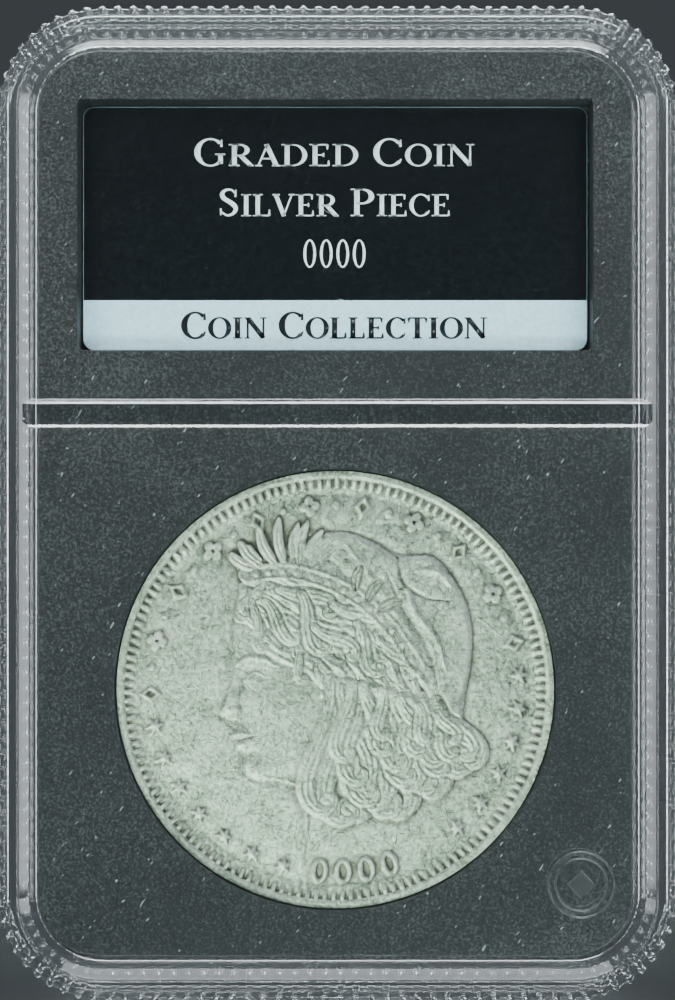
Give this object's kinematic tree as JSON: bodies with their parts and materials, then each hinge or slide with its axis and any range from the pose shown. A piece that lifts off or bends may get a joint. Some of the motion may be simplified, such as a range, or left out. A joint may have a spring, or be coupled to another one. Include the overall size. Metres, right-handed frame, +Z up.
{
  "type": "graded coin slab",
  "caption": "Clear tamper-evident coin slab: beaded front and back shells around a black core that seats a large silver coin and a printed label, standing on its short edge.",
  "frame": {"origin": "middle of the bottom edge: the slab stands on its short beaded edge, centred in width and thickness", "axes": "+X is the slab's right as its front is read, +Z is up towards the label, and the front window faces -Y"},
  "size_m": [0.0586, 0.008, 0.0857],
  "materials": {
    "front_clear": "clear moulded polystyrene",
    "back_clear": "clear moulded polystyrene",
    "core_black": "fine-grained matte black",
    "coin_silver": "circulated struck silver",
    "front_card": "printed card, black panel and white strip",
    "back_card": "printed white card"
  },
  "bodies": {
    "back_half": {"back_shell": "back_clear"},
    "core_half": {"core": "core_black", "front_label": "front_card", "back_label": "back_card"},
    "front_half": {"front_shell": "front_clear"},
    "coin_piece": {"coin": "coin_silver"}
  },
  "joints": [
    {"name": "core_lift", "type": "slide", "parent": "back_half", "child": "core_half", "axis": [0, -1, 0], "range_m": [0, 0.01]},
    {"name": "front_lift", "type": "slide", "parent": "core_half", "child": "front_half", "axis": [0, -1, 0], "range_m": [0, 0.015]},
    {"name": "coin_turn", "type": "hinge", "parent": "core_half", "child": "coin_piece", "pos_m": [-0.0002, 0, 0.02665], "axis": [0, -1, 0], "continuous": true}
  ]
}
